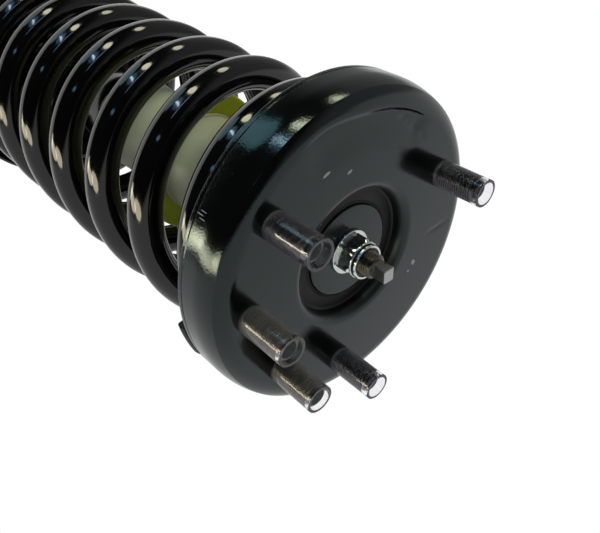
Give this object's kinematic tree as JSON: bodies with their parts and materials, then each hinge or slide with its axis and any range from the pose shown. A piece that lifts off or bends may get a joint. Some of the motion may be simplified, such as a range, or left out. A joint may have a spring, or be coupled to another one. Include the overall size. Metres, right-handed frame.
{
  "type": "strut assembly",
  "caption": "Coil-over suspension strut: pressed steel top mount with clear-sleeved studs and a locked rod nut, closed-end coil spring, gas damper and rubber-bushed lower eye.",
  "frame": {"origin": "centre of the top plate's mounting face, on the strut's axis, where the face meets the vehicle's tower", "axes": "+Z along the strut's axis and out of the mounting face, along the studs; +X through one of the three main studs, away from the extra pair; +Y completes a right-handed frame and runs along the lower eye's bolt hole"},
  "size_m": [0.162, 0.16, 0.523],
  "materials": {
    "gloss_black_steel": "gloss",
    "powder_black": "satin",
    "dark_steel": "satin",
    "zinc_steel": "satin",
    "ground_steel": "polished",
    "sintered_iron": "matt",
    "clear_sleeve": "clear",
    "nylon": "matt",
    "cream_plastic": "satin",
    "urethane": "matt",
    "bearing_polymer": "matt",
    "rubber": "matt"
  },
  "bodies": {
    "top_mount": {"top_plate": "gloss_black_steel", "mount_studs": "dark_steel", "stud_sleeves": "clear_sleeve", "mount_rubber": "rubber", "bush_core": "dark_steel", "rod_washer": "zinc_steel", "rod_nut": "zinc_steel", "nut_insert": "nylon", "upper_spring_pad": "rubber", "coil_spring": "powder_black", "bump_cup": "zinc_steel", "bump_stop": "urethane", "dust_tube": "cream_plastic", "dust_tube_collar": "urethane", "piston_rod": "ground_steel", "rebound_stop": "rubber", "piston": "sintered_iron", "piston_band": "bearing_polymer", "valve_shims": "ground_steel", "piston_nut": "zinc_steel"},
    "damper_body": {"damper_tube": "powder_black", "striker_cap": "zinc_steel", "rod_seal": "rubber", "rod_guide": "sintered_iron", "pressure_tube": "ground_steel", "base_valve": "sintered_iron", "lower_spring_seat": "powder_black", "lower_spring_pad": "rubber", "base_cap": "powder_black", "lower_eye": "powder_black", "eye_rubber": "rubber"},
    "eye_bush_sleeve": {"eye_sleeve": "zinc_steel"}
  },
  "joints": [
    {"name": "damper_stroke", "type": "slide", "parent": "top_mount", "child": "damper_body", "axis": [0, 0, 1], "range_m": [0, 0.095], "deforming": ["coil_spring"]},
    {"name": "eye_twist", "type": "hinge", "parent": "damper_body", "child": "eye_bush_sleeve", "pos_m": [0, 0, -0.47], "axis": [0, 1, 0], "range_deg": [-15, 15]}
  ]
}
